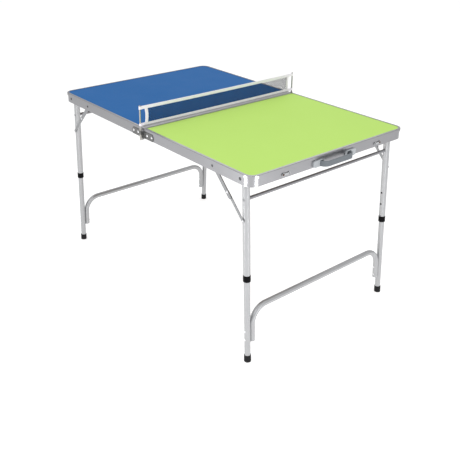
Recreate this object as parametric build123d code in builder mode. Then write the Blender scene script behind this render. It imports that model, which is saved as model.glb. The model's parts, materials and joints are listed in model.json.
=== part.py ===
from build123d import *
import os
from math import atan2, cos, degrees, hypot, radians, sin

# Folding midsize ping pong table. Millimetres, +Z up. The origin is on the floor, below the centre
# of the whole object. X runs along the table, from the blue half (-X) to the green half (+X).
# Depths below the top of the rim are written as positive "down" values and turned into Z by at_depth.

# Table top
table_length = 1220.0
table_width = 775.0
table_height = 718.0
rim_depth = 40.0
rim_corner_radius = 36.0
rim_wall = 1.8
lip_width = 9.0
lip_thickness = 1.0
bead_height = 10.0
bead_overhang = 3.0
ledge_reach = 12.0
ledge_thickness = 1.5
board_thickness = 7.0
centre_rail_width = 19.0
centre_gap = 0.6

# Legs
leg_spread = 718.0
leg_splay = 2.4
leg_pivot_reach = 555.0
leg_pivot_down = 22.0
upper_leg_radius = 12.5
lower_leg_radius = 11.0
tube_wall = 1.2
upper_leg_length = 375.0
lower_leg_start = 318.0
collar_radius = 13.5
collar_start = 354.0
collar_end = 378.0
foot_radius = 12.75
foot_height = 26.0
foot_sole = 6.0
moulded_chamfer = 0.8
snap_hole_spacing = 48.0
snap_button_place = 349.0
snap_hole_radius = 4.0
leg_rod_place = 77.0
leg_rod_radius = 6.0

# Bow between each pair of lower legs
bow_radius = 10.5
bow_end_height = 76.0
bow_bar_height = 202.0
bow_bend_radius = 62.0
bow_rivet_heights = (90.0, 122.0)

# Folding braces: a channel on the rim and a flat bar on the leg, which meet at a knee
brace_rim_reach = 414.0
brace_leg_place = 150.0
brace_channel_width = 15.0
brace_channel_length = 131.0
brace_bar_width = 11.0
brace_lip_thickness = 1.2

# Hinges and net
hinge_plate_reach = 72.0
hinge_plate_thickness = 2.0
hinge_ear_radius = 8.0
hinge_pin_radius = 3.0
net_post_reach = 394.0
net_height = 83.0
net_bottom = 7.0
net_post_radius = 3.0
blade_width = 11.0
blade_thickness = 3.0
blade_tip_down = 50.0
blade_taper = 9.0
top_tape_height = 12.0
bottom_tape_height = 10.0
end_tape_width = 12.0
end_tape_reach = 367.0

# Handle and latches on the two ends
handle_down = 27.0
handle_rise = 33.0
handle_half_span = 78.0
handle_bend_radius = 25.0
handle_band_thickness = 4.5
handle_band_width = 20.0
bracket_height = 25.0
bracket_rise = 8.0
latch_spread = 245.0
latch_down = 27.0
latch_stud_rise = 9.0

running_clearance = 0.06
side_gap = 0.3

# Derived places
half_length = table_length / 2
half_width = table_width / 2
rim_face = half_width - bead_overhang
rim_end_face = half_length - bead_overhang
rim_inside = rim_face - rim_wall
leg_y = leg_spread / 2
handle_reach = rim_end_face - 3.0 + handle_rise
stud_reach = rim_end_face + latch_stud_rise
fold_x = -(handle_reach - stud_reach) / 2
hinge_z = table_height - rim_depth
leg_slope = radians(leg_splay)
leg_length = (table_height - leg_pivot_down) / cos(leg_slope)

# Side stack between a leg's outer face and the inside of the rim, outwards
bar_y = leg_y + upper_leg_radius + 2.1
bar_thickness = 2.0
channel_lip_y = bar_y + bar_thickness + side_gap
channel_web_y = bar_y + 4.2
web_thickness = 1.5
lip_depth = channel_web_y + web_thickness - channel_lip_y


def at_depth(down):
    """Z of a place given by its depth below the top of the rim."""
    return table_height - down


def at_reach(side, reach):
    """X of a place given by its distance from the fold line, on the green (+1) or blue (-1) side."""
    return fold_x + side * reach


def leg_direction(side):
    """Down along the legs of one end."""
    return Vector(side * sin(leg_slope), 0, -cos(leg_slope))


def leg_point(side, row, place):
    """The point on a leg's centre line at this distance below its pivot. Row is -1, 0 or +1 along Y."""
    pivot = Vector(at_reach(side, leg_pivot_reach), row * leg_y, at_depth(leg_pivot_down))
    return pivot + leg_direction(side) * place


def leg_plane(side, row, place):
    """A plane across a leg, with its normal down along it and its local X along +Y."""
    return Plane(leg_point(side, row, place), x_dir=(0, 1, 0), z_dir=leg_direction(side))


def leg_face(side):
    """The plane that holds both legs of an end, local Y up along them, origin at the pivots' height."""
    return Plane(leg_point(side, 0, 0), x_dir=(0, 1, 0), z_dir=(cos(leg_slope), 0, side * sin(leg_slope)))


def leg_place(height):
    """Distance along a leg of a point at this height above the floor."""
    return leg_length - height / cos(leg_slope)


def is_round(edge, radius):
    """Whether an edge is a circle of this radius."""
    return edge.geom_type == GeomType.CIRCLE and abs(edge.radius - radius) < 0.01


def drill(points, radius, length, rotation=(90, 0, 0)):
    """Round holes along Y (or another direction) through the part being built."""
    with Locations(*points):
        Cylinder(radius, length, rotation=rotation, mode=Mode.SUBTRACT)


def add_rivet(at, outward, shank, head, head_rise, grip, tail=0.0, tail_rise=0.0):
    """A domed rivet. Its head stands outward of the point, its shank runs inward and may end in a tail."""
    outward = Vector(outward)
    across = Vector(1, 0, 0) if abs(outward.X) < 0.5 else Vector(0, 1, 0)
    outline = [(head, 0), (shank, 0), (shank, -grip)]
    if tail > shank:
        outline += [(tail, -grip), (tail, -grip - tail_rise)]
    outline += [(0, outline[-1][1]), (0, head_rise)]
    with BuildSketch(Plane(at, x_dir=across, z_dir=across.cross(outward))) as profile:
        with BuildLine():
            ThreePointArc((0, head_rise), (head * 0.62, head_rise * 0.74), (head, 0))
            Polyline(*outline)
        make_face()
    revolve(profile.sketch, axis=Axis(at, outward))


def save(piece, name):
    piece.part.label = name
    export_step(piece.part, f"parts/{name}.step")


# ---- the two halves of the top ----


def build_rim(side):
    """Bent aluminium rim: lip, bead, wall, inturned foot and a ledge under the board; open at the fold."""
    start = at_reach(side, centre_gap / 2)
    end = at_reach(side, half_length)
    bead = bead_overhang
    bead_round = 2.0
    inner = bead + rim_wall
    foot_reach = inner + 1.8
    foot_thickness = 1.4
    under_board = lip_thickness + board_thickness + 0.2
    under_ledge = under_board + ledge_thickness
    with BuildPart() as rim:
        with BuildLine(Plane.XY.offset(table_height)) as route:
            FilletPolyline(
                (start, -side * half_width),
                (end, -side * half_width),
                (end, side * half_width),
                (start, side * half_width),
                radius=rim_corner_radius,
            )
        section = Plane((start, -side * half_width, table_height), x_dir=(0, side, 0), z_dir=(side, 0, 0))
        with BuildSketch(section):
            with BuildLine():
                Line((lip_width, 0), (bead_round, 0))
                RadiusArc((bead_round, 0), (0, -bead_round), -bead_round)
                Polyline(
                    (0, -bead_round),
                    (0, -bead_height),
                    (bead, -bead_height - 1.0),
                    (bead, -rim_depth),
                    (foot_reach, -rim_depth),
                    (foot_reach, foot_thickness - rim_depth),
                    (inner, foot_thickness - rim_depth),
                    (inner, -under_ledge),
                    (ledge_reach, -under_ledge),
                    (ledge_reach, -under_board),
                    (inner, -under_board),
                    (inner, -lip_thickness),
                    (lip_width, -lip_thickness),
                    (lip_width, 0),
                )
            make_face()
        sweep(path=route.wires()[0])
        for row in (-1, 1):
            wall_y = row * (rim_face - rim_wall / 2)
            drill([(fold_x, wall_y, hinge_z)], hinge_ear_radius + 0.6, 8.0)
            drill([(at_reach(side, leg_pivot_reach), wall_y, at_depth(leg_pivot_down))], 3.0, 8.0)
            drill([(at_reach(side, brace_rim_reach), wall_y, at_depth(leg_pivot_down))], 2.5, 8.0)
            drill(hinge_rivet_points(side, row), 2.4, 8.0)
            end_hole = (at_reach(side, rim_end_face), row * latch_spread, at_depth(latch_down))
            drill([end_hole], 2.0, 8.0, rotation=(0, 90, 0))
    return rim


def build_board(side):
    """Painted board, rounded at its outer corners, held under the rim's lip."""
    inset = bead_overhang + rim_wall + 0.2
    start = centre_gap / 2 + 1.0
    length = half_length - inset - start
    centre = at_reach(side, start + length / 2)
    with BuildPart() as board:
        with BuildSketch(Plane.XY.offset(at_depth(lip_thickness))):
            with Locations((centre, 0)):
                Rectangle(length, 2 * (half_width - inset))
        extrude(amount=-board_thickness)
        outer = board.edges().filter_by(Axis.Z).sort_by(Axis.X, reverse=side > 0)[:2]
        fillet(outer, rim_corner_radius - inset)
    return board


def build_centre_rail(side):
    """Thin channel that caps the board's edge along the fold."""
    rail_width = 2 * (half_width - lip_width) - 0.2
    inner_width = 2 * (half_width - ledge_reach) - 0.4
    wall = 1.0
    start = centre_gap / 2
    bottom = lip_thickness + board_thickness
    with BuildPart() as rail:
        with BuildSketch(Plane.XY.offset(at_depth(lip_thickness))):
            with Locations((at_reach(side, start + centre_rail_width / 2), 0)):
                Rectangle(centre_rail_width, rail_width)
        extrude(amount=lip_thickness)
        with BuildSketch(Plane.XY.offset(at_depth(bottom + 0.8))):
            with Locations((at_reach(side, start + wall / 2), 0)):
                Rectangle(wall, inner_width)
        extrude(amount=bottom + 0.8)
        with BuildSketch(Plane.XY.offset(at_depth(bottom + 0.8))):
            with Locations((at_reach(side, start + centre_rail_width / 2), 0)):
                Rectangle(centre_rail_width, inner_width)
        extrude(amount=0.8)
    return rail


# ---- centre hinges ----


def hinge_rivet_points(side, row):
    """The two rivets that hold one hinge plate to the rim."""
    plate_face = row * (rim_face + hinge_plate_thickness)
    return [(at_reach(side, reach), plate_face, at_depth(25.0)) for reach in (30.0, 60.0)]


def build_hinge_plates(side):
    """Stamped plates on both sides of a half, each with a round ear at the fold.

    The green ears stand one plate further out, on a doubler, so that the ears pass side by side."""
    ear_step = hinge_plate_thickness + side_gap if side > 0 else 0.0
    top = at_depth(bead_height + 2.5)
    near = hinge_ear_radius + 1.5
    bore = hinge_pin_radius if side > 0 else hinge_pin_radius + running_clearance
    with BuildPart() as plates:
        for row in (-1, 1):
            # local X runs along the half seen from outside the table, local Y is up
            face = Plane((fold_x, row * rim_face, hinge_z), x_dir=(-row, 0, 0), z_dir=(0, row, 0))
            run = -row * side
            up = top - hinge_z
            with BuildSketch(face):
                with BuildLine():
                    Polyline(
                        (run * near, up),
                        (run * (hinge_plate_reach - 10), up),
                        (run * hinge_plate_reach, up / 2),
                        (run * (hinge_plate_reach - 6), 0),
                        (run * near, 0),
                        close=True,
                    )
                make_face()
            extrude(amount=hinge_plate_thickness)
            with BuildSketch(face.offset(ear_step)):
                Circle(hinge_ear_radius)
                with Locations((run * 9.0, 7.0)):
                    Rectangle(18.0, 14.0)
                Circle(bore, mode=Mode.SUBTRACT)
            extrude(amount=hinge_plate_thickness)
            if side > 0:
                with BuildSketch(face.offset(hinge_plate_thickness)):
                    with Locations((run * 14.0, 7.0)):
                        Rectangle(8.0, 14.0)
                extrude(amount=side_gap)
            drill(hinge_rivet_points(side, row), 2.4, 10.0)
    return plates


def build_hinge_rivets(side):
    with BuildPart() as rivets:
        for row in (-1, 1):
            for point in hinge_rivet_points(side, row):
                add_rivet(point, (0, row, 0), 2.4, 5.0, 2.0, hinge_plate_thickness + rim_wall, 3.6, 1.0)
    return rivets


def build_hinge_pins():
    """Riveted pins that join the ears of the green and blue plates."""
    ears = 2 * hinge_plate_thickness + side_gap
    with BuildPart() as pins:
        for row in (-1, 1):
            outer = (fold_x, row * (rim_face + ears), hinge_z)
            add_rivet(outer, (0, row, 0), hinge_pin_radius, 5.0, 1.6, ears + 0.3, 5.0, 1.2)
    return pins


def build_net_sockets():
    """J-shaped steel straps on the green hinge plates that the net posts' blades drop into."""
    wall = 1.4
    inner = blade_width / 2 + 0.6
    plate_y = rim_face + hinge_plate_thickness
    front_y = net_post_reach + blade_thickness / 2 + 0.6
    foot_end = 24.0
    height = 12.0
    with BuildPart() as sockets:
        for row in (-1, 1):
            with BuildSketch(Plane.XY.offset(at_depth(13.0 + height))):
                with BuildLine():
                    Polyline(
                        (fold_x + foot_end, row * plate_y),
                        (fold_x + inner, row * plate_y),
                        (fold_x + inner, row * front_y),
                        (fold_x - inner, row * front_y),
                        (fold_x - inner, row * (net_post_reach - 1.0)),
                        (fold_x - inner - wall, row * (net_post_reach - 1.0)),
                        (fold_x - inner - wall, row * (front_y + wall)),
                        (fold_x + inner + wall, row * (front_y + wall)),
                        (fold_x + inner + wall, row * (plate_y + wall)),
                        (fold_x + foot_end, row * (plate_y + wall)),
                        close=True,
                    )
                make_face()
            extrude(amount=height)
    return sockets


# ---- net ----


def build_net_posts():
    """Round rods with a small cap, flattened below into pointed blades."""
    with BuildPart() as posts:
        for row in (-1, 1):
            with BuildSketch(Plane.XY.offset(at_depth(2.0))):
                with Locations((fold_x, row * net_post_reach)):
                    Circle(net_post_radius)
            extrude(amount=net_height + 2.2)
            with BuildSketch(Plane.XY.offset(at_depth(-net_height - 0.2))):
                with Locations((fold_x, row * net_post_reach)):
                    Circle(net_post_radius + 0.6)
            extrude(amount=2.3)
            face = Plane((fold_x, row * net_post_reach, 0), x_dir=(1, 0, 0), z_dir=(0, -1, 0))
            half = blade_width / 2
            tip_half = 2.0
            with BuildSketch(face.offset(-blade_thickness / 2)):
                with BuildLine():
                    Polyline(
                        (-tip_half, at_depth(blade_tip_down - 0.8)),
                        (-half, at_depth(blade_tip_down - blade_taper)),
                        (-half, at_depth(3.0)),
                        (-net_post_radius, at_depth(-2.0)),
                        (net_post_radius, at_depth(-2.0)),
                        (half, at_depth(3.0)),
                        (half, at_depth(blade_tip_down - blade_taper)),
                        (tip_half, at_depth(blade_tip_down - 0.8)),
                    )
                    ThreePointArc(
                        (tip_half, at_depth(blade_tip_down - 0.8)),
                        (0, at_depth(blade_tip_down)),
                        (-tip_half, at_depth(blade_tip_down - 0.8)),
                    )
                make_face()
            extrude(amount=blade_thickness)
    return posts


def build_tape(bottom, height):
    """A flat tape across the table whose ends loop round both posts."""
    loop = net_post_radius + 1.5
    tape_thickness = 2.0
    with BuildPart() as tape:
        with BuildSketch(Plane.XY.offset(at_depth(-bottom))):
            with Locations((fold_x, 0)):
                Rectangle(tape_thickness, 2 * (net_post_reach - net_post_radius - 0.5))
            with Locations((fold_x, -net_post_reach), (fold_x, net_post_reach)):
                Circle(loop)
                Circle(net_post_radius + 0.1, mode=Mode.SUBTRACT)
        extrude(amount=height)
    return tape


def build_end_tapes():
    """Upright tapes that bind the two short edges of the net between the long tapes."""
    low = net_bottom + bottom_tape_height
    high = net_height - top_tape_height
    with BuildPart() as tapes:
        with Locations((fold_x, -end_tape_reach, at_depth(-low)), (fold_x, end_tape_reach, at_depth(-low))):
            Box(2.0, end_tape_width, high - low, align=(Align.CENTER, Align.CENTER, Align.MIN))
    return tapes


def build_net_mesh():
    """The net itself as a thin flat sheet between its four tapes."""
    low = net_bottom + bottom_tape_height
    high = net_height - top_tape_height
    with BuildPart() as mesh:
        with Locations((fold_x, 0, at_depth(-low))):
            mesh_length = 2 * end_tape_reach - end_tape_width
            Box(1.2, mesh_length, high - low, align=(Align.CENTER, Align.CENTER, Align.MIN))
    return mesh


# ---- leg frames ----


def build_upper_legs(side):
    """The two outer tubes of an end, with their pivot, rod, brace and snap-button holes."""
    with BuildPart() as legs:
        for row in (-1, 1):
            with BuildSketch(leg_plane(side, row, -5.0)):
                Circle(upper_leg_radius)
                Circle(upper_leg_radius - tube_wall, mode=Mode.SUBTRACT)
            extrude(amount=upper_leg_length + 5.0)
            drill([leg_point(side, row, 0)], 3.0 + running_clearance, 40.0)
            drill([leg_point(side, row, leg_rod_place)], 2.5, 40.0)
            outer_wall = Vector(0, row * upper_leg_radius, 0)
            drill([leg_point(side, row, brace_leg_place) + outer_wall], 2.5, 8.0)
            for step in range(3):
                place = snap_button_place - step * snap_hole_spacing
                drill([leg_point(side, row, place) - outer_wall], snap_hole_radius, 8.0)
    return legs


def build_leg_collars(side):
    """Moulded collars at the ends of the upper legs; the lower legs slide through their lips."""
    mouth = upper_leg_length + 0.2
    with BuildPart() as collars:
        for row in (-1, 1):
            with BuildSketch(leg_plane(side, row, collar_start)):
                Circle(collar_radius)
                Circle(upper_leg_radius, mode=Mode.SUBTRACT)
            extrude(amount=mouth - collar_start)
            with BuildSketch(leg_plane(side, row, mouth)):
                Circle(collar_radius)
                Circle(lower_leg_radius + side_gap, mode=Mode.SUBTRACT)
            extrude(amount=collar_end - mouth)
        outer = collars.edges().filter_by(lambda edge: is_round(edge, collar_radius))
        chamfer(outer, moulded_chamfer)
    return collars


def build_leg_rod(side):
    """Thin stiffening rod between the upper legs."""
    half = leg_y - upper_leg_radius - 0.1
    with BuildPart() as rod:
        centre = leg_point(side, 0, leg_rod_place)
        with BuildSketch(Plane((centre.X, -half, centre.Z), x_dir=(1, 0, 0), z_dir=(0, 1, 0))):
            Circle(leg_rod_radius)
            Circle(leg_rod_radius - tube_wall, mode=Mode.SUBTRACT)
        extrude(amount=2 * half)
    return rod


def build_rod_bolts(side):
    """Low-headed bolts from the outside of each leg into the rod's ends."""
    with BuildPart() as bolts:
        for row in (-1, 1):
            at = leg_point(side, row, leg_rod_place) + Vector(0, row * upper_leg_radius, 0)
            grip = 2 * upper_leg_radius + 10.0
            add_rivet(at, (0, row, 0), 2.5, 5.0, 1.7, grip)
    return bolts


def build_lower_legs(side):
    """Inner tubes that telescope in the upper legs; each has a hole for its snap button."""
    with BuildPart() as legs:
        for row in (-1, 1):
            with BuildSketch(leg_plane(side, row, lower_leg_start)):
                Circle(lower_leg_radius)
                Circle(lower_leg_radius - tube_wall, mode=Mode.SUBTRACT)
            extrude(amount=leg_length - foot_sole - lower_leg_start)
            inner_wall = Vector(0, -row * lower_leg_radius, 0)
            drill([leg_point(side, row, snap_button_place) + inner_wall], 3.4, 8.0)
            for height in bow_rivet_heights:
                drill([leg_point(side, row, leg_place(height))], 2.0, 40.0)
    return legs


def build_leg_feet(side):
    """Rubber caps on the lower legs, cut level with the floor."""
    sole_place = leg_length - foot_sole
    with BuildPart() as feet:
        for row in (-1, 1):
            with BuildSketch(leg_plane(side, row, leg_length - foot_height)):
                Circle(foot_radius)
            extrude(amount=foot_height + 4.0)
        chamfer(feet.edges().filter_by(lambda edge: is_round(edge, foot_radius)), moulded_chamfer)
        for row in (-1, 1):
            with BuildSketch(leg_plane(side, row, leg_length - foot_height)):
                Circle(lower_leg_radius)
            extrude(amount=sole_place - leg_length + foot_height, mode=Mode.SUBTRACT)
        split(bisect_by=Plane.XY, keep=Keep.TOP)
    return feet


def bow_offset():
    """Distance of the bow's upright ends from the table's centre plane."""
    return leg_y - lower_leg_radius - bow_radius - side_gap


def build_bow(side):
    """One tube bent twice, which joins the lower legs and stiffens them."""
    ends = -leg_place(bow_end_height)
    bar = -leg_place(bow_bar_height)
    with BuildPart() as bow:
        with BuildLine(leg_face(side)) as route:
            FilletPolyline(
                (-bow_offset(), ends),
                (-bow_offset(), bar),
                (bow_offset(), bar),
                (bow_offset(), ends),
                radius=bow_bend_radius,
            )
        path = route.wires()[0]
        with BuildSketch(Plane(path @ 0, z_dir=path % 0)):
            Circle(bow_radius)
            Circle(bow_radius - tube_wall, mode=Mode.SUBTRACT)
        sweep(path=path)
        for row in (-1, 1):
            for height in bow_rivet_heights:
                centre = leg_point(side, 0, leg_place(height))
                drill([(centre.X, row * bow_offset(), centre.Z)], 2.0, 40.0)
    return bow


def build_bow_rivets(side):
    """Through rivets that clamp the bow's ends to the lower legs."""
    outer = leg_y + lower_leg_radius
    grip = outer - bow_offset() + bow_radius
    with BuildPart() as rivets:
        for row in (-1, 1):
            for height in bow_rivet_heights:
                centre = leg_point(side, 0, leg_place(height))
                at = (centre.X, row * outer, centre.Z)
                add_rivet(at, (0, row, 0), 2.0, 4.0, 1.6, grip, 3.6, 0.8)
    return rivets


# ---- snap buttons ----


def build_snap_button(side, row):
    """Domed button on a flange; it points at the table's centre plane and presses into the lower leg."""
    centre = leg_point(side, row, snap_button_place)
    inward = Vector(0, -row, 0)
    with BuildPart() as button:
        with BuildSketch(Plane(centre, x_dir=(1, 0, 0), z_dir=Vector(1, 0, 0).cross(inward))):
            with BuildLine():
                ThreePointArc((0, 11.2), (2.2, 10.7), (3.3, 9.6))
                Polyline(
                    (3.3, 9.6),
                    (3.3, 8.8),
                    (4.1, 8.8),
                    (4.1, 7.8),
                    (1.4, 7.8),
                    (1.4, 5.3),
                    (0, 5.3),
                    (0, 11.2),
                )
            make_face()
        revolve(axis=Axis(centre, inward))
    return button


def build_snap_springs(side):
    """Bent leaf springs inside the lower legs, one arm behind the button and one on the far wall."""
    strip = 8.0
    leaf = 0.7
    with BuildPart() as springs:
        for row in (-1, 1):
            spring_face = Plane(
                leg_point(side, row, snap_button_place),
                x_dir=(0, -row, 0),
                z_dir=Vector(0, -row, 0).cross(-leg_direction(side)),
            )
            with BuildSketch(spring_face.offset(-strip / 2)):
                with BuildLine():
                    arm = Polyline((4.2, -9.0), (4.2, 8.0), (-1.5, 22.0), (-7.4, 8.0), (-7.4, -12.0))
                    offset(arm, amount=leaf / 2)
                make_face()
            extrude(amount=strip)
            drill([leg_point(side, row, snap_button_place)], 1.8, 10.0)
    return springs


# ---- folding braces ----


def brace_geometry():
    """Lengths of channel and bar between pivots, and the straight brace's slope below level, in degrees."""
    run = leg_pivot_reach + brace_leg_place * sin(leg_slope) - brace_rim_reach
    drop = brace_leg_place * cos(leg_slope)
    straight = hypot(run, drop)
    folded_gap = brace_rim_reach - (leg_pivot_reach - brace_leg_place)
    channel = (straight - folded_gap) / 2
    return channel, straight - channel, degrees(atan2(drop, run))


def brace_face(side, row, start, y):
    """A plane across Y at a brace pivot, local X pointing along the brace towards the leg."""
    slope = radians(brace_geometry()[2])
    along = Vector(side * cos(slope), 0, -sin(slope))
    return Plane((start.X, row * y, start.Z), x_dir=along, z_dir=(0, row, 0))


def build_brace_channels(side):
    """Pressed channels pivoted on the rim, with shallow lips; they reach past the knee."""
    pivot = Vector(at_reach(side, brace_rim_reach), 0, at_depth(leg_pivot_down))
    knee = brace_geometry()[0]
    half = brace_channel_width / 2
    lip_middle = (brace_channel_length - half) / 2
    with BuildPart() as channels:
        for row in (-1, 1):
            web = brace_face(side, row, pivot, channel_web_y)
            with BuildSketch(web):
                with Locations((lip_middle - half / 2, 0)):
                    SlotOverall(brace_channel_length + half, brace_channel_width)
                Circle(2.5 + running_clearance, mode=Mode.SUBTRACT)
                with Locations((knee, 0)):
                    Circle(2.5, mode=Mode.SUBTRACT)
            extrude(amount=web_thickness)
            with BuildSketch(brace_face(side, row, pivot, channel_lip_y)):
                lip_y = half - brace_lip_thickness / 2
                with Locations((lip_middle, lip_y), (lip_middle, -lip_y)):
                    Rectangle(brace_channel_length - 3 * half, brace_lip_thickness)
            extrude(amount=lip_depth - web_thickness)
    return channels


def build_knee_rivets(side):
    """Short rivets in the channels where the knees are."""
    pivot = Vector(at_reach(side, brace_rim_reach), 0, at_depth(leg_pivot_down))
    knee_length = brace_geometry()[0]
    with BuildPart() as rivets:
        for row in (-1, 1):
            web = brace_face(side, row, pivot, channel_web_y + web_thickness)
            knee = web.from_local_coords((knee_length, 0, 0))
            add_rivet(knee, (0, row, 0), 2.5, 5.0, 1.9, web_thickness, 4.0, 1.2)
    return rivets


def build_brace_bars(side):
    """Flat bars from the legs up to the knees, on the inner side of the channels."""
    foot = leg_point(side, 0, brace_leg_place)
    bar_length = brace_geometry()[1]
    with BuildPart() as bars:
        for row in (-1, 1):
            with BuildSketch(brace_face(side, row, foot, bar_y)):
                with Locations((-bar_length / 2, 0)):
                    SlotCenterToCenter(bar_length, brace_bar_width)
                Circle(2.5 + running_clearance, mode=Mode.SUBTRACT)
                with Locations((-bar_length, 0)):
                    Circle(2.5, mode=Mode.SUBTRACT)
            extrude(amount=bar_thickness)
    return bars


def build_brace_rim_rivets(side):
    """Pivots of the channels, through the rim and a spacer."""
    grip = rim_face - channel_web_y + 0.1
    with BuildPart() as rivets:
        for row in (-1, 1):
            at = (at_reach(side, brace_rim_reach), row * rim_face, at_depth(leg_pivot_down))
            add_rivet(at, (0, row, 0), 2.5, 5.0, 1.9, grip, 4.0, 0.8)
    return rivets


def build_brace_leg_rivets(side):
    """Pivots of the bars, through the outer walls of the upper legs."""
    outer = bar_y + bar_thickness + 0.1
    grip = outer - leg_y - upper_leg_radius + tube_wall + 0.6
    with BuildPart() as rivets:
        for row in (-1, 1):
            centre = leg_point(side, 0, brace_leg_place)
            add_rivet((centre.X, row * outer, centre.Z), (0, row, 0), 2.5, 4.0, 1.3, grip, 3.0, 0.6)
    return rivets


def build_leg_rivets(side):
    """Pivots of the legs, through the rim, a bushing and the leg."""
    grip = rim_face - leg_y + upper_leg_radius + 0.2
    with BuildPart() as rivets:
        for row in (-1, 1):
            at = (at_reach(side, leg_pivot_reach), row * rim_face, at_depth(leg_pivot_down))
            add_rivet(at, (0, row, 0), 3.0, 6.0, 2.2, grip, 5.0, 0.8)
    return rivets


def build_pivot_spacers(side):
    """Turned spacers inside the rim: a long one at each leg pivot and a thin one at each brace pivot."""
    with BuildPart() as spacers:
        for row in (-1, 1):
            for reach, inner, radius, bore in (
                (leg_pivot_reach, leg_y + upper_leg_radius + side_gap, 6.0, 3.0),
                (brace_rim_reach, channel_web_y + web_thickness + 0.2, 5.5, 2.5),
            ):
                pivot = (at_reach(side, reach), row * inner, at_depth(leg_pivot_down))
                face = Plane(pivot, x_dir=(1, 0, 0), z_dir=(0, row, 0))
                with BuildSketch(face):
                    Circle(radius)
                    Circle(bore, mode=Mode.SUBTRACT)
                extrude(amount=rim_inside - inner)
    return spacers


# ---- handle and latches ----


def build_handle_band():
    """Flexible carrying band, a flat arch with round shoulders whose ends enter the two brackets."""
    inner_rise = handle_rise - handle_band_thickness
    inner_span = handle_half_span - handle_band_thickness
    inner_bend = handle_bend_radius - handle_band_thickness
    base = rim_end_face - 3.0
    with BuildPart() as band:
        with BuildSketch(Plane.XY.offset(at_depth(handle_down + handle_band_width / 2))):
            with Locations((at_reach(1, base), 0)):
                RectangleRounded(2 * handle_rise, 2 * handle_half_span, handle_bend_radius)
                RectangleRounded(2 * inner_rise, 2 * inner_span, inner_bend, mode=Mode.SUBTRACT)
            with Locations((at_reach(1, rim_end_face + 0.3 - handle_rise), 0)):
                Rectangle(2 * handle_rise, 3 * handle_half_span, mode=Mode.SUBTRACT)
        extrude(amount=handle_band_width)
        rims = band.faces().filter_by(Axis.Z).edges()
        fillet(rims.filter_by(lambda edge: abs(edge.center().X - at_reach(1, rim_end_face)) > 1.0), 1.2)
    return band


def build_handle_brackets():
    """Moulded brackets that hold the band's ends, each with a slot for it."""
    inner = 58.0
    outer = 106.0
    with BuildPart() as brackets:
        for row in (-1, 1):
            centre = (at_reach(1, rim_end_face), row * (inner + outer) / 2, at_depth(handle_down))
            face = Plane(centre, x_dir=(0, 1, 0), z_dir=(1, 0, 0))
            with BuildSketch(face):
                RectangleRounded(outer - inner, bracket_height, 7.0)
            extrude(amount=bracket_rise)
        fillet(brackets.faces().filter_by(Plane.YZ).group_by(Axis.X)[-1].edges(), 2.0)
        for row in (-1, 1):
            slot_centre = (at_reach(1, rim_end_face), row * 69.5, at_depth(handle_down))
            with BuildSketch(Plane(slot_centre, x_dir=(0, 1, 0), z_dir=(1, 0, 0))):
                RectangleRounded(18.0, handle_band_width + 0.6, 1.5)
            extrude(amount=bracket_rise, mode=Mode.SUBTRACT)
    return brackets


def build_latch_hook(row):
    """Flat hook that swings on its rivet; level when stowed, down to catch a stud when closed."""
    reach = 2 * (rim_depth - latch_down)
    centre = (at_reach(1, rim_end_face + 1.2), row * latch_spread, at_depth(latch_down))
    with BuildPart() as hook:
        with BuildSketch(Plane(centre, x_dir=(0, 1, 0), z_dir=(1, 0, 0))):
            Circle(6.0)
            with Locations((-row * reach / 2, 0)):
                Rectangle(reach, 7.0)
            with Locations((-row * reach, 0)):
                Circle(5.5)
                Circle(2.8, mode=Mode.SUBTRACT)
            with Locations((-row * reach, -4.0)):
                Rectangle(5.2, 8.0, mode=Mode.SUBTRACT)
            Circle(2.0 + running_clearance, mode=Mode.SUBTRACT)
        extrude(amount=2.0)
    return hook


def build_latch_rivets():
    """Pivots of the hooks, each with a washer-like collar against the rim."""
    with BuildPart() as rivets:
        for row in (-1, 1):
            at = (at_reach(1, rim_end_face + 3.4), row * latch_spread, at_depth(latch_down))
            add_rivet(at, (1, 0, 0), 2.0, 4.2, 1.8, 3.4 + rim_wall, 3.4, 0.3)
    return rivets


def build_latch_studs():
    """Headed studs on the blue end that the hooks catch when the table is folded."""
    with BuildPart() as studs:
        for row in (-1, 1):
            at = (at_reach(-1, stud_reach - 1.6), row * latch_spread, at_depth(latch_down))
            add_rivet(at, (-1, 0, 0), 2.0, 4.0, 1.6, latch_stud_rise - 1.6 + rim_wall, 3.4, 0.3)
    return studs


# ---- write every piece ----

os.makedirs("parts", exist_ok=True)

save(build_hinge_pins(), "hinge_pins")
save(build_net_sockets(), "net_sockets")
save(build_net_posts(), "net_posts")
save(build_tape(net_height - top_tape_height, top_tape_height), "net_top_tape")
save(build_tape(net_bottom, bottom_tape_height), "net_bottom_tape")
save(build_end_tapes(), "net_end_tapes")
save(build_net_mesh(), "net_mesh")
save(build_handle_band(), "handle_band")
save(build_handle_brackets(), "handle_brackets")
save(build_latch_rivets(), "latch_rivets")
save(build_latch_studs(), "latch_studs")

for row_name, row in (("near", -1), ("far", 1)):
    save(build_latch_hook(row), f"latch_hook_{row_name}")

per_end = {
    "rim": build_rim,
    "board": build_board,
    "centre_rail": build_centre_rail,
    "hinge_plates": build_hinge_plates,
    "hinge_rivets": build_hinge_rivets,
    "leg_rivets": build_leg_rivets,
    "brace_rim_rivets": build_brace_rim_rivets,
    "pivot_spacers": build_pivot_spacers,
    "upper_legs": build_upper_legs,
    "leg_collars": build_leg_collars,
    "leg_rod": build_leg_rod,
    "rod_bolts": build_rod_bolts,
    "brace_leg_rivets": build_brace_leg_rivets,
    "lower_legs": build_lower_legs,
    "leg_feet": build_leg_feet,
    "bow": build_bow,
    "bow_rivets": build_bow_rivets,
    "snap_springs": build_snap_springs,
    "brace_channels": build_brace_channels,
    "knee_rivets": build_knee_rivets,
    "brace_bars": build_brace_bars,
}

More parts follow.
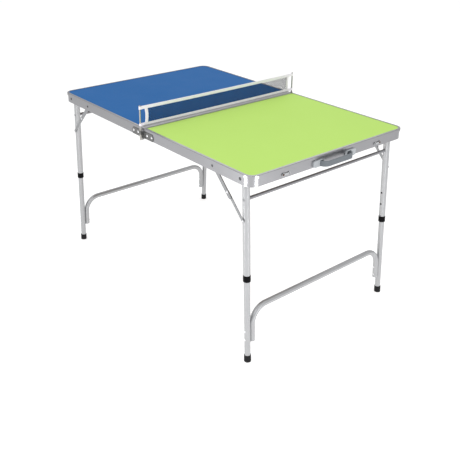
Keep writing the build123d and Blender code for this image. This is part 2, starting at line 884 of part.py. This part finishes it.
for colour, side in (("green", 1), ("blue", -1)):
    for piece_name, build in per_end.items():
        save(build(side), f"{colour}_{piece_name}")
    for row_name, row in (("near", -1), ("far", 1)):
        save(build_snap_button(side, row), f"{colour}_snap_button_{row_name}")
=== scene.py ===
import json
import math
import bmesh
import bpy
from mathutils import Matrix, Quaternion, Vector


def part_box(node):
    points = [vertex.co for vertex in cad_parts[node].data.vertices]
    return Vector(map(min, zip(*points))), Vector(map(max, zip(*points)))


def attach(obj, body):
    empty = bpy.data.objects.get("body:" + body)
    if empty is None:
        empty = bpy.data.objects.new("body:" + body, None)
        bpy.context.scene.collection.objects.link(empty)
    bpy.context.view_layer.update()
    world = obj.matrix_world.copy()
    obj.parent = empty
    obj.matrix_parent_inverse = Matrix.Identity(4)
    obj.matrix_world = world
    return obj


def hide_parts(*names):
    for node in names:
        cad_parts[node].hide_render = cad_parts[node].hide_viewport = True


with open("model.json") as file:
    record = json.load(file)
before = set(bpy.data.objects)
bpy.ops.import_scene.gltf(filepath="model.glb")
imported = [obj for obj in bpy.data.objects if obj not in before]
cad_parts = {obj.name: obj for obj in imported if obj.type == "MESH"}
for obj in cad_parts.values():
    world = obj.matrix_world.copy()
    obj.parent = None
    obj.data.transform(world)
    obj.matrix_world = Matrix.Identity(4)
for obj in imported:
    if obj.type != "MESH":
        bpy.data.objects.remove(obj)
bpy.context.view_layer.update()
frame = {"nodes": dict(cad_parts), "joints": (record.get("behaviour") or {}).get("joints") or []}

IMAGE_SIDE = 460.0
SENSOR = 36.0

# Legs: outer radius of the upper tubes, and radii halfway into the walls of the upper and lower tubes
TUBE_RADIUS = 0.0125
UPPER_BORE = 0.0119
LOWER_BORE = 0.0104

# Net: its posts, the folded tapes' cloth and half the space between their two layers, how far the tapes sag
# in the middle, and how far the net pulls the end tapes in
POST_RADIUS = 0.003
POST_Y = 0.394
TAPE_CLOTH = 0.0007
TAPE_HALF_GAP = 0.0010
TOP_SAG = 0.0022
BOTTOM_SAG = 0.0014
END_PULL = 0.0034

nodes = frame["nodes"]
joints = {j["name"]: j for j in frame["joints"]}


def middle(node):
    """Centre of a CAD node's box."""
    low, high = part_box(node)
    return (Vector(low) + Vector(high)) / 2


# Places that everything else is measured from, in metres
fold_x = joints["centre_fold"]["pos_m"][0]
top_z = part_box("green_rim")[1][2]


# ---------------------------------------------------------------- camera


def add_camera():
    """A camera that stands at the near green corner of the table, at the photograph's viewing angle."""
    distance_x, distance_y, height = 2.0749, -1.7170, 0.8491
    yaw, pitch, roll = math.radians(49.62), math.radians(21.85), math.radians(0.72)
    focal_px, shift_x_px, shift_y_px = 694.0, -0.6, -69.0
    data = bpy.data.cameras.new("camera")
    data.sensor_width = SENSOR
    data.lens = focal_px / IMAGE_SIDE * SENSOR
    data.shift_x = shift_x_px / IMAGE_SIDE
    data.shift_y = shift_y_px / IMAGE_SIDE
    data.clip_end = 50.0
    camera = bpy.data.objects.new("camera", data)
    camera.location = (fold_x + distance_x, distance_y, top_z + height)
    look = Vector((-math.sin(yaw) * math.cos(pitch), math.cos(yaw) * math.cos(pitch), -math.sin(pitch)))
    camera.rotation_mode = "QUATERNION"
    camera.rotation_quaternion = look.to_track_quat("-Z", "Y") @ Quaternion((0, 0, 1), roll)
    bpy.context.scene.collection.objects.link(camera)
    bpy.context.scene.camera = camera


# ---------------------------------------------------------------- materials


class Shader:
    """A Principled material whose colour, roughness and relief come from procedural textures in metres."""

    def __init__(self, name, colour, roughness, metallic=0.0, coat=0.0, sheen=0.0, specular=0.5):
        self.material = bpy.data.materials.new(name)
        self.material.use_nodes = True
        tree = self.material.node_tree
        self.nodes, self.links = tree.nodes, tree.links
        self.bsdf = self.nodes["Principled BSDF"]
        self.colour = (*colour, 1.0)
        self.bsdf.inputs["Base Color"].default_value = self.colour
        self.bsdf.inputs["Roughness"].default_value = roughness
        self.bsdf.inputs["Metallic"].default_value = metallic
        self.bsdf.inputs["Coat Weight"].default_value = coat
        self.bsdf.inputs["Sheen Weight"].default_value = sheen
        self.bsdf.inputs["Specular IOR Level"].default_value = specular
        self.roughness = roughness
        self.place = self.nodes.new("ShaderNodeTexCoord").outputs["Object"]
        self.relief = None

    def add(self, kind, **values):
        """A new node. Each value sets the input or the property of that name."""
        node = self.nodes.new(kind)
        for key, value in values.items():
            if key in node.inputs:
                node.inputs[key].default_value = value
            else:
                setattr(node, key, value)
        return node

    def stretched(self, stretch):
        """Texture coordinates scaled by stretch along each axis."""
        mapping = self.add("ShaderNodeMapping", Scale=stretch)
        self.links.new(self.place, mapping.inputs["Vector"])
        return mapping.outputs["Vector"]

    def noise(self, scale, detail=3.0, stretch=(1, 1, 1)):
        """Soft 0 to 1 noise, with its middle near 0.5."""
        node = self.add("ShaderNodeTexNoise", Scale=scale, Detail=detail)
        self.links.new(self.stretched(stretch), node.inputs["Vector"])
        return node.outputs["Fac"]

    def cells(self, scale):
        """Distance from the centre of each point's cell."""
        node = self.add("ShaderNodeTexVoronoi", Scale=scale)
        self.links.new(self.place, node.inputs["Vector"])
        return node.outputs["Distance"]

    def grains(self, scale):
        """A random grey for each cell."""
        node = self.add("ShaderNodeTexVoronoi", Scale=scale)
        self.links.new(self.place, node.inputs["Vector"])
        grey = self.add("ShaderNodeRGBToBW")
        self.links.new(node.outputs["Color"], grey.inputs[0])
        return grey.outputs[0]

    def wave(self, scale, direction):
        """Soft 0 to 1 bands across one axis."""
        node = self.add("ShaderNodeTexWave", Scale=scale, wave_type="BANDS", bands_direction=direction)
        self.links.new(self.place, node.inputs["Vector"])
        return node.outputs["Fac"]

    def range(self, value, low, high, to_low, to_high):
        """Value mapped from low and high to the other two numbers, and clamped to them."""
        node = self.add("ShaderNodeMapRange")
        for key, number in (("From Min", low), ("From Max", high), ("To Min", to_low), ("To Max", to_high)):
            node.inputs[key].default_value = number
        self.links.new(value, node.inputs["Value"])
        return node.outputs["Result"]

    def combine(self, operation, *values):
        """One arithmetic step on numbers and sockets."""
        node = self.add("ShaderNodeMath", operation=operation)
        for index, value in enumerate(values):
            if isinstance(value, (int, float)):
                node.inputs[index].default_value = value
            else:
                self.links.new(value, node.inputs[index])
        return node.outputs["Value"]

    def square_sum(self, first, second):
        return self.combine("MULTIPLY_ADD", first, first, self.combine("MULTIPLY", second, second))

    def axis(self, name):
        """One coordinate of the point, in metres in the object's frame."""
        split = self.add("ShaderNodeSeparateXYZ")
        self.links.new(self.place, split.inputs[0])
        return split.outputs[name]

    def blend_colour(self, factor, other):
        """Mixes the colour so far with another where factor is high."""
        mix = self.add("ShaderNodeMix", data_type="RGBA")
        self.links.new(factor, mix.inputs["Factor"])
        source = self.bsdf.inputs["Base Color"]
        if source.is_linked:
            self.links.new(source.links[0].from_socket, mix.inputs["A"])
        else:
            mix.inputs["A"].default_value = self.colour
        mix.inputs["B"].default_value = (*other, 1.0)
        self.links.new(mix.outputs["Result"], source)

    def mottle(self, scale, amount, stretch=(1, 1, 1), detail=3.0):
        """Slight darker and lighter patches of the colour."""
        patches = self.range(self.noise(scale, detail, stretch), 0.3, 0.7, 0.0, 1.0)
        darker = tuple(c * (1.0 - amount) for c in self.colour[:3])
        self.blend_colour(patches, darker)

    def vary_roughness(self, scale, amount, stretch=(1, 1, 1)):
        low, high = self.roughness - amount, self.roughness + amount
        value = self.range(self.noise(scale, 4.0, stretch), 0.3, 0.7, low, high)
        self.links.new(value, self.bsdf.inputs["Roughness"])

    def bump(self, height, depth, strength=1.0):
        """Relief of depth metres from a 0 to 1 height. Several calls add up."""
        node = self.add("ShaderNodeBump", Strength=strength, Distance=depth)
        self.links.new(height, node.inputs["Height"])
        if self.relief:
            self.links.new(self.relief, node.inputs["Normal"])
        self.relief = node.outputs["Normal"]
        self.links.new(self.relief, self.bsdf.inputs["Normal"])


def painted_board(name, colour, base_z):
    """Satin paint with a fine orange-peel skin; the underside and edges are bare brown hardboard."""
    shader = Shader(name, colour, 0.46, specular=0.07)
    shader.mottle(2.2, 0.035, detail=2.0)
    shader.blend_colour(shader.range(shader.noise(1400.0, 2.0), 0.60, 0.85, 0.0, 0.02), (0.9, 0.9, 0.9))
    hardboard = (0.155, 0.110, 0.075)
    below = shader.range(shader.axis("Z"), base_z - 0.0012, base_z - 0.0010, 1.0, 0.0)
    shader.blend_colour(below, hardboard)
    shader.vary_roughness(9.0, 0.02)
    shader.bump(shader.noise(620.0, 2.0), 0.00004)
    shader.bump(shader.noise(90.0, 2.0), 0.00003)
    return shader.material


def rim_metal():
    """Rolled aluminium: fine lines along the rim, soft stains, small dents."""
    shader = Shader("rim_aluminium", (0.315, 0.315, 0.328), 0.30, metallic=0.88)
    lines = shader.noise(1.0, 3.0, (1.5, 1.5, 2200.0))
    shader.blend_colour(shader.range(lines, 0.35, 0.65, 0.0, 0.30), (0.26, 0.26, 0.272))
    shader.mottle(7.0, 0.06)
    shader.vary_roughness(28.0, 0.02, (1, 1, 6))
    shader.bump(lines, 0.0000015)
    shader.bump(shader.noise(9.0, 2.0), 0.00002)
    return shader.material


def tube_paint(name, colour):
    """Silver-grey powder paint on steel tube, with a fine metallic fleck."""
    shader = Shader(name, colour, 0.32, metallic=0.60, coat=0.05)
    lighter = tuple(1.3 * c for c in colour)
    shader.blend_colour(shader.range(shader.grains(2600.0), 0.55, 1.0, 0.0, 0.15), lighter)
    shader.mottle(16.0, 0.04)
    shader.vary_roughness(25.0, 0.03)
    shader.bump(shader.noise(500.0, 2.0), 0.000004)
    return shader


def leg_paint_and_bore_shade(half, part, colour, bore_radius):
    """Tube paint outside, and painted shade, near black, in the bores of an end's two splayed legs."""
    shader = tube_paint(f"{half}_{part}_leg_paint", colour)
    pivot_x, _, pivot_z = joints[f"{half}_leg_fold"]["pos_m"]
    leg_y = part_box(f"{half}_upper_legs")[1][1] - TUBE_RADIUS
    foot = middle(f"{half}_leg_feet")
    slope = (foot.x - pivot_x) / (pivot_z - foot.z)
    line_x = shader.combine("MULTIPLY_ADD", shader.axis("Z"), -slope, pivot_x + slope * pivot_z)
    off_x = shader.combine("SUBTRACT", shader.axis("X"), line_x)
    off_x = shader.combine("MULTIPLY", off_x, math.cos(math.atan(slope)))
    off_y = shader.combine("SUBTRACT", shader.combine("ABSOLUTE", shader.axis("Y")), leg_y)
    blur = 0.0002
    square = shader.square_sum(off_x, off_y)
    inside = shader.range(square, (bore_radius - blur) ** 2, (bore_radius + blur) ** 2, 1.0, 0.0)
    # Painted shade: points inside the bore radius, within the tube, are coloured near black.
    shader.blend_colour(inside, (0.012, 0.012, 0.013))
    return shader.material


def zinc_plate(name, colour, roughness):
    """Zinc-plated pressed steel: cloudy spangle and fine upright grain."""
    shader = Shader(name, colour, roughness, metallic=0.85)
    darker = tuple(0.7 * c for c in colour)
    shader.blend_colour(shader.range(shader.grains(160.0), 0.2, 0.8, 0.0, 0.25), darker)
    shader.vary_roughness(120.0, 0.06)
    shader.bump(shader.noise(200.0, 3.0, (1, 1, 4)), 0.00001)
    return shader.material


def rivet_metal(name, colour, roughness):
    shader = Shader(name, colour, roughness, metallic=0.9)
    shader.mottle(300.0, 0.15)
    shader.vary_roughness(500.0, 0.08)
    shader.bump(shader.noise(800.0, 2.0), 0.00003)
    return shader.material


def spring_metal():
    shader = Shader("spring_steel", (0.22, 0.23, 0.26), 0.34, metallic=0.95)
    shader.mottle(200.0, 0.15)
    shader.vary_roughness(300.0, 0.08)
    shader.bump(shader.noise(1.0, 3.0, (1800, 1800, 20)), 0.00002)
    return shader.material


def moulded(name, colour, roughness, specular=0.4):
    """Moulded plastic with a fine spark-eroded grain and slightly worn, lighter patches."""
    shader = Shader(name, colour, roughness, specular=specular)
    shader.mottle(14.0, 0.12)
    worn = tuple(1.3 * c + 0.03 for c in colour)
    shader.blend_colour(shader.range(shader.noise(40.0, 5.0), 0.62, 0.80, 0.0, 0.2), worn)
    shader.vary_roughness(70.0, 0.07)
    shader.bump(shader.cells(1100.0), 0.00006)
    return shader.material


def foot_rubber():
    """Dull black rubber, a little dusty near the floor."""
    shader = Shader("foot_rubber", (0.008, 0.008, 0.009), 0.62, specular=0.2)
    dust = shader.range(shader.axis("Z"), 0.0, 0.006, 0.35, 0.0)
    shader.blend_colour(shader.combine("MULTIPLY", dust, shader.noise(350.0, 4.0)), (0.20, 0.19, 0.18))
    shader.vary_roughness(120.0, 0.10)
    shader.bump(shader.noise(700.0, 3.0), 0.00008)
    return shader.material


def net_thread():
    """Black nylon with the fine lumps of a twisted thread."""
    shader = Shader("net_thread", (0.007, 0.008, 0.011), 0.72, specular=0.1)
    twist = shader.noise(2600.0, 2.0)
    shader.blend_colour(shader.range(twist, 0.45, 0.75, 0.0, 0.5), (0.020, 0.022, 0.030))
    shader.vary_roughness(900.0, 0.10)
    shader.bump(twist, 0.00012)
    return shader.material


def woven_tape():
    """White cotton tape: a fine over-and-under weave, with soft grey patches of painted crease shade."""
    shader = Shader("woven_tape", (0.93, 0.88, 0.98), 0.82, sheen=0.15, specular=0.2)
    along = shader.wave(620.0, "Y")
    upright = shader.wave(620.0, "Z")
    weave = shader.combine("MULTIPLY", along, upright)
    shader.blend_colour(shader.range(weave, 0.0, 0.30, 0.28, 0.0), (0.66, 0.64, 0.67))
    # Painted shade: soft grey patches stand for the shade in the tape's creases.
    shader.blend_colour(shader.range(shader.noise(55.0, 3.0), 0.55, 0.80, 0.0, 0.22), (0.70, 0.68, 0.70))
    shader.vary_roughness(300.0, 0.06)
    shader.bump(weave, 0.00012)
    shader.bump(shader.noise(70.0, 2.0), 0.0003)
    return shader.material


def stitch_thread():
    shader = Shader("stitch_thread", (0.87, 0.87, 0.85), 0.7, sheen=0.2)
    shader.mottle(1500.0, 0.20)
    shader.vary_roughness(900.0, 0.08)
    shader.bump(shader.noise(2500.0, 2.0), 0.00005)
    return shader.material


def floor_finish():
    """Plain pale floor with painted light: it glows everywhere, and a painted pool of light glows more in
    front of the near green corner.
    """
    shader = Shader("floor_finish", (0.90, 0.90, 0.90), 0.75, specular=0.15)
    # Painted light: the floor glows though it is no lamp, brightest in a pool in front of the near green
    # corner.
    shader.bsdf.inputs["Emission Color"].default_value = (1, 1, 1, 1)
    centre_x, centre_y = 1.3, -1.1
    off_x = shader.combine("SUBTRACT", shader.axis("X"), centre_x)
    off_y = shader.combine("SUBTRACT", shader.axis("Y"), centre_y)
    distance = shader.combine("SQRT", shader.square_sum(off_x, off_y))
    glow = shader.range(distance, 1.2, 3.6, 0.52, 0.27)
    shader.links.new(glow, shader.bsdf.inputs["Emission Strength"])
    shader.mottle(0.8, 0.01)
    shader.vary_roughness(3.0, 0.03)
    shader.bump(shader.noise(200.0, 2.0), 0.00005)
    return shader.material


def paint_nodes():
    """Gives every shown CAD node its material: the first ending here that its name has."""
    board_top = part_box("green_board")[1][2]
    blue = painted_board("blue_paint", (0.009, 0.119, 0.362), board_top)
    green = painted_board("green_paint", (0.490, 0.742, 0.160), board_top)
    rim = rim_metal()
    silver = (0.43, 0.435, 0.445)
    tube = tube_paint("bow_paint", silver).material
    plate = zinc_plate("hinge_zinc", (0.175, 0.175, 0.175), 0.40)
    brace = zinc_plate("brace_zinc", (0.33, 0.335, 0.345), 0.42)
    post = zinc_plate("post_zinc", (0.42, 0.41, 0.385), 0.34)
    rivet = rivet_metal("bright_rivet", (0.80, 0.80, 0.82), 0.24)
    dull_rivet = rivet_metal("dull_rivet", (0.11, 0.11, 0.115), 0.38)
    bronze_rivet = rivet_metal("bronze_rivet", (0.10, 0.055, 0.045), 0.38)
    hook = zinc_plate("hook_zinc", (0.48, 0.49, 0.50), 0.30)
    finishes = {
        "blue_board": blue,
        "green_board": green,
        "_rim": rim,
        "centre_rail": rim,
        "green_upper_legs": leg_paint_and_bore_shade("green", "upper", silver, UPPER_BORE),
        "blue_upper_legs": leg_paint_and_bore_shade("blue", "upper", silver, UPPER_BORE),
        "green_lower_legs": leg_paint_and_bore_shade("green", "lower", silver, LOWER_BORE),
        "blue_lower_legs": leg_paint_and_bore_shade("blue", "lower", silver, LOWER_BORE),
        "leg_rod": tube_paint("rod_paint", (0.30, 0.30, 0.318)).material,
        "_bow": tube,
        "hinge_plates": plate,
        "net_sockets": plate,
        "pivot_spacers": brace,
        "brace_channels": brace,
        "brace_bars": brace,
        "net_posts": post,
        "green_leg_rivets": dull_rivet,
        "blue_leg_rivets": dull_rivet,
        "brace_rim_rivets": dull_rivet,
        "latch_rivets": bronze_rivet,
        "rivets": rivet,
        "rod_bolts": brace,
        "hinge_pins": rivet,
        "latch_studs": rivet,
        "snap_button_near": rivet,
        "snap_button_far": rivet,
        "snap_springs": spring_metal(),
        "leg_collars": moulded("collar_plastic", (0.004, 0.004, 0.005), 0.50, specular=0.06),
        "leg_feet": foot_rubber(),
        "handle_band": moulded("handle_grey", (0.165, 0.183, 0.200), 0.42, specular=0.2),
        "handle_brackets": moulded("bracket_grey", (0.43, 0.455, 0.475), 0.40),
        "latch_hook_near": hook,
        "latch_hook_far": hook,
    }
    for name, node in nodes.items():
        finish = next((f for ending, f in finishes.items() if name.endswith(ending)), None)
        if finish is None:
            continue
        node.data.materials.clear()
        node.data.materials.append(finish)


# ---------------------------------------------------------------- net


class MeshMaker:
    """Collects vertices and faces for one piece."""

    def __init__(self):
        self.points = []
        self.faces = []

    def ring(self, points):
        """Adds points and gives back their numbers."""
        start = len(self.points)
        self.points.extend(points)
        return list(range(start, start + len(points)))

    def join(self, first, second):
        """Quads between two closed rings with the same number of points."""
        count = len(first)
        for i in range(count):
            j = (i + 1) % count
            self.faces.append((first[i], first[j], second[j], second[i]))

    def cap(self, ring, flip=False):
        self.faces.append(tuple(reversed(ring)) if flip else tuple(ring))

    def tube(self, route, radius, sides=6):
        """A round thread along a list of points, closed at both ends."""
        rings = []
        for i, point in enumerate(route):
            before, after = route[max(i - 1, 0)], route[min(i + 1, len(route) - 1)]
            along = (after - before).normalized()
            side = along.cross(Vector((1, 0, 0))).normalized()
            up = along.cross(side)
            turns = [2 * math.pi * k / sides for k in range(sides)]
            rings.append(self.ring([point + radius * (math.cos(a) * side + math.sin(a) * up) for a in turns]))
        for first, second in zip(rings, rings[1:]):
            self.join(first, second)
        self.cap(rings[0], flip=True)
        self.cap(rings[-1])

    def make(self, name, material, body):
        """The finished piece, with its normals outwards, riding on a body."""
        mesh = bpy.data.meshes.new(name)
        mesh.from_pydata([tuple(p) for p in self.points], [], self.faces)
        outward = bmesh.new()
        outward.from_mesh(mesh)
        bmesh.ops.recalc_face_normals(outward, faces=outward.faces)
        outward.to_mesh(mesh)
        outward.free()
        mesh.polygons.foreach_set("use_smooth", [True] * len(mesh.polygons))
        mesh.materials.append(material)
        piece = bpy.data.objects.new(name, mesh)
        bpy.context.scene.collection.objects.link(piece)
        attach(piece, body)
        return piece


def net_sag(y, reach, depth):
    """How far a tape hangs below its ends, in metres."""
    return depth * (1.0 - (y / reach) ** 2)


def post_reach(tape_node):
    """Distance from the table's middle to a post's centre, from the CAD tape that loops round it."""
    low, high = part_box(tape_node)
    loop_outside_post = 0.0015
    return (high[1] - low[1]) / 2 - POST_RADIUS - loop_outside_post


def tape_outline(reach):
    """Half of a tape's plan outline, from the table's middle to the outer side of one post.

    Each entry is the distance from the middle and from the net's plane, for the cloth's centre line."""
    loop = POST_RADIUS + TAPE_CLOTH
    neck = reach - 3.2 * loop
    straight_steps, curve_steps = 60, 8
    first_angle = 120
    outline = [(neck * i / straight_steps, TAPE_HALF_GAP) for i in range(straight_steps + 1)]
    for i in range(1, curve_steps + 1):
        t = i / curve_steps
        ease = t * t * (3 - 2 * t)
        widened = TAPE_HALF_GAP + (0.86 * loop - TAPE_HALF_GAP) * ease
        outline.append((neck + (reach - 0.5 * loop - neck) * t, widened))
    for i in range(1, curve_steps + 1):
        angle = math.radians(first_angle * (1 - i / curve_steps))
        outline.append((reach + loop * math.cos(angle), loop * math.sin(angle)))
    return outline


def add_tape(name, node, material, fold_up, sag):
    """A cotton tape folded over the net's edge, whose two layers part to loop round the posts.

    They ripple a little, and are pinched together towards the fold, except near the posts."""
    low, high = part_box(node)
    reach = post_reach(node)
    loop_length = 0.012
    ripple_depth = 0.00022
    pinch_start, pinch_share = 0.80, 0.55
    outline = tape_outline(reach)
    front = [(fold_x + x, -y) for y, x in reversed(outline)] + [(fold_x + x, y) for y, x in outline[1:]]
    back = [(2 * fold_x - x, y) for x, y in reversed(front[1:-1])]
    plan = front + back
    height = high[2] - low[2]
    maker = MeshMaker()
    levels = 8
    rings_out, rings_in = [], []
    count = len(plan)
    for level in range(levels + 1):
        t = level / levels
        outer, inner = [], []
        for i, (x, y) in enumerate(plan):
            x0, y0 = plan[i - 1]
            x1, y1 = plan[(i + 1) % count]
            across = Vector((y1 - y0, x0 - x1, 0)).normalized()
            near_post = max(0.0, abs(y) - (reach - loop_length)) / loop_length
            ripple = ripple_depth * math.sin(y * 210 + 3 * t) * math.sin(y * 61) * (1 - min(near_post, 1))
            drop = net_sag(y, reach, sag)
            fold = t if fold_up else 1 - t
            pinch = pinch_share * max(0.0, fold - pinch_start) / (1 - pinch_start)
            pinch *= 1 - min(near_post * 2, 1)
            side = 1 if x > fold_x else -1
            shift = -side * pinch * TAPE_HALF_GAP
            point = Vector((x + shift + ripple, y, low[2] + height * t - drop))
            outer.append(point - across * TAPE_CLOTH / 2)
            inner.append(point + across * TAPE_CLOTH / 2)
        rings_out.append(maker.ring(outer))
        rings_in.append(maker.ring(inner))
    for first, second in zip(rings_out, rings_out[1:]):
        maker.join(first, second)
    for first, second in zip(rings_in, rings_in[1:]):
        maker.join(second, first)
    maker.join(rings_in[0], rings_out[0])
    maker.join(rings_out[-1], rings_in[-1])
    piece = maker.make(name, material, "net")
    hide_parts(node)
    return piece


def add_stitches(name, node, material, sag, inset, pitch):
    """Two rows of running stitches on both faces of a tape, each dipping into the cloth at its ends."""
    low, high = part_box(node)
    reach = post_reach(node)
    bare_end = 0.020
    run = reach - bare_end
    count = int(2 * run / pitch)
    radius = 0.00022
    face_out = TAPE_HALF_GAP + TAPE_CLOTH / 2 + 0.00005
    half = 0.31 * pitch
    stitch_shape = ((-1.0, -0.00035), (-0.5, 0.00012), (0.0, 0.00018), (0.5, 0.00012), (1.0, -0.00035))
    maker = MeshMaker()
    for side in (-1, 1):
        for z in (low[2] + inset, high[2] - inset):
            for i in range(count):
                y = -run + pitch * (i + 0.5)
                drop = net_sag(y, reach, sag)
                x = fold_x + side * face_out
                route = [Vector((x + side * out, y + half * share, z - drop)) for share, out in stitch_shape]
                maker.tube(route, radius, sides=5)
    piece = maker.make(name, material, "net")
    return piece


def end_bow(t, sign):
    """Where an end tape's middle pulls in towards the net, in metres along Y. t runs 0 to 1 upwards."""
    return -sign * END_PULL * math.sin(math.pi * t)


def folded_section(width, gap, cloth):
    """Plan outline of a strip folded in a U: distances inwards from the fold and from the net's plane."""
    steps = 6
    turns = [math.pi * k / steps for k in range(steps + 1)]
    line = [(width * (1 - k / steps), gap) for k in range(steps)]
    line += [(gap * (1 - math.sin(turn)), gap * math.cos(turn)) for turn in turns]
    line += [(width * k / steps, -gap) for k in range(1, steps + 1)]
    outline = []
    for side in (1, -1):
        points = []
        for k, (u, v) in enumerate(line):
            u0, v0 = line[max(k - 1, 0)]
            u1, v1 = line[min(k + 1, len(line) - 1)]
            along = Vector((u1 - u0, v1 - v0)).normalized()
            points.append((u + side * cloth / 2 * along.y, v - side * cloth / 2 * along.x))
        outline += points if side > 0 else points[::-1]
    return outline


def add_end_tape(name, material, sign, sag):
    """Upright tape folded over the net's short edge; the net's pull bows it inwards."""
    low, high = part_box("net_end_tapes")
    outer_edge = sign * (high[1] - low[1]) / 2
    width, half_gap, cloth = 0.012, 0.0011, 0.0006
    section = folded_section(width, half_gap, cloth)
    ripple_depth = 0.00014
    tuck = 0.0035
    bottom, top = low[2] - tuck, high[2] + tuck
    maker = MeshMaker()
    rings = []
    steps = 26
    for level in range(steps + 1):
        t = level / steps
        z = bottom + (top - bottom) * t - net_sag(outer_edge, POST_Y, sag)
        bend = end_bow(t, sign)
        ring = []
        for inward, out in section:
            ripple = ripple_depth * math.sin(t * 31 + inward * 700)
            ring.append(Vector((fold_x + out + ripple, outer_edge - sign * inward + bend, z)))
        rings.append(maker.ring(ring))
    for first, second in zip(rings, rings[1:]):
        maker.join(first, second)
    maker.cap(rings[0], flip=True)
    maker.cap(rings[-1])
    piece = maker.make(name, material, "net")
    return piece


def add_net(material):
    """The net: upright and level nylon threads that pass over and under each other."""
    low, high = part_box("net_mesh")
    radius = 0.0008
    pitch = 0.005
    half_run = (high[1] - low[1]) / 2
    tuck = 0.003
    bottom, top = low[2] - tuck, high[2] + tuck
    weave_depth = 0.0005
    slack_share, wander_share = 0.12, 0.015
    columns = int(2 * half_run / pitch)
    rows = int((top - bottom) / pitch)
    maker = MeshMaker()

    def point(u, t, weave):
        """A point at share u across (-1 to 1) and t up, pulled in with the end tapes."""
        y = u * half_run
        pull = end_bow(t, 1 if u > 0 else -1) * abs(u) ** 6
        sag = net_sag(y, POST_Y, BOTTOM_SAG + (TOP_SAG - BOTTOM_SAG) * t)
        return Vector((fold_x + weave, y + pull, bottom + (top - bottom) * t - sag))

    for i in range(columns + 1):
        u = -1 + 2 * i / columns
        slack = slack_share * math.sin(i * 2.4) / columns
        route = []
        for k in range(2 * rows + 1):
            t = k / (2 * rows)
            weave = weave_depth * math.cos(math.pi * (k / 2 + i))
            route.append(point(u + slack * math.sin(math.pi * t), t, weave))
        maker.tube(route, radius)
    for j in range(rows):
        t = (j + 0.5) / rows
        route = []
        for k in range(2 * columns + 1):
            u = -1 + k / columns
            weave = -weave_depth * math.cos(math.pi * (k / 2 + j + 0.5))
            wander = wander_share * math.sin(k * 0.37 + j * 1.7)
            route.append(point(u, t + wander / rows, weave))
        maker.tube(route, radius)
    piece = maker.make("net_threads", material, "net")
    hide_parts("net_mesh")
    return piece


def build_net(woven, stitch, thread):
    """The net's seven pieces in place of the CAD's plain ones."""
    top = add_tape("top_tape", "net_top_tape", woven, True, TOP_SAG)
    bottom = add_tape("bottom_tape", "net_bottom_tape", woven, False, BOTTOM_SAG)
    pitch = 0.0042
    top_stitches = add_stitches("top_tape_stitches", "net_top_tape", stitch, TOP_SAG, 0.0018, pitch)
    bottom_stitches = add_stitches(
        "bottom_tape_stitches", "net_bottom_tape", stitch, BOTTOM_SAG, 0.0016, pitch
    )
    near_end = add_end_tape("near_end_tape", woven, -1, TOP_SAG)
    far_end = add_end_tape("far_end_tape", woven, 1, TOP_SAG)
    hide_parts("net_end_tapes")
    threads = add_net(thread)


# ---------------------------------------------------------------- stage and light


def add_floor(material):
    half = 30.0
    mesh = bpy.data.meshes.new("floor")
    corners = [(-half, -half, 0), (half, -half, 0), (half, half, 0), (-half, half, 0)]
    mesh.from_pydata(corners, [], [(0, 1, 2, 3)])
    mesh.materials.append(material)
    floor = bpy.data.objects.new("floor", mesh)
    bpy.context.scene.collection.objects.link(floor)


def add_light(name, place, target, size, power, only=()):
    """A rectangular softbox. With only, it lights just those nodes."""
    data = bpy.data.lights.new(name, "AREA")
    data.shape = "RECTANGLE"
    data.size, data.size_y = size
    data.energy = power
    light = bpy.data.objects.new(name, data)
    light.visible_camera = False
    light.location = place
    light.rotation_mode = "QUATERNION"
    light.rotation_quaternion = (Vector(target) - Vector(place)).to_track_quat("-Z", "Y")
    bpy.context.scene.collection.objects.link(light)
    if only:
        receivers = bpy.data.collections.new(name + "_receivers")
        for node in only:
            receivers.objects.link(nodes[node])
        light.light_linking.receiver_collection = receivers


def add_world():
    """A pale studio with a greyer band a little above the horizon."""
    world = bpy.data.worlds.new("studio")
    world.use_nodes = True
    tree = world.node_tree
    tree.nodes.clear()
    place = tree.nodes.new("ShaderNodeTexCoord")
    split = tree.nodes.new("ShaderNodeSeparateXYZ")
    ramp = tree.nodes.new("ShaderNodeValToRGB")
    stops = ramp.color_ramp.elements
    greys = ((0.0, 1.0), (0.10, 0.97), (0.22, 0.66), (0.30, 0.74), (0.40, 1.0), (0.95, 1.0))
    for position, grey in greys:
        stop = stops[0] if position == 0.0 else stops.new(position)
        stop.color = (grey, grey, grey, 1)
    stops.remove(stops[-1])
    background = tree.nodes.new("ShaderNodeBackground")
    background.inputs["Strength"].default_value = 0.86
    output = tree.nodes.new("ShaderNodeOutputWorld")
    tree.links.new(place.outputs["Generated"], split.inputs[0])
    tree.links.new(split.outputs["Z"], ramp.inputs["Fac"])
    tree.links.new(ramp.outputs["Color"], background.inputs["Color"])
    tree.links.new(background.outputs["Background"], output.inputs["Surface"])
    bpy.context.scene.world = world


def build_stage():
    """Floor, studio and softboxes; the strips and the card give the metal of the top its highlights."""
    add_floor(floor_finish())
    add_world()
    centre = (fold_x, 0, top_z / 2)
    rim_low, rim_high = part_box("green_rim")
    corner = Vector((rim_high[0], rim_low[1], top_z))
    add_light("key_softbox", (1.9, -2.9, 2.8), centre, (1.8, 1.8), 22)
    add_light("overhead_softbox", (0, 0, 3.6), centre, (4.0, 3.0), 20)
    for name, angle in (("left", -112), ("right", 12)):
        turn = math.radians(angle)
        away = 0.95 * Vector((math.cos(turn), math.sin(turn), 0))
        place = corner + away
        place.z = top_z / 2
        add_light(name + "_corner_strip", place, place - away, (0.24, 0.36), 8.0, only=["green_rim"])
        add_light(name + "_leg_strip", place, place - away, (0.10, 1.2), 2.0)
    behind = corner + Vector((-2.2, 2.05, 1.30))
    lips = ["green_rim", "green_centre_rail", "blue_rim"]
    add_light("lip_card", behind, corner, (2.0, 0.8), 7.0, only=lips)
    bpy.context.scene.view_settings.view_transform = "Standard"


add_camera()
net_materials = woven_tape(), stitch_thread(), net_thread()
paint_nodes()
build_net(*net_materials)
build_stage()
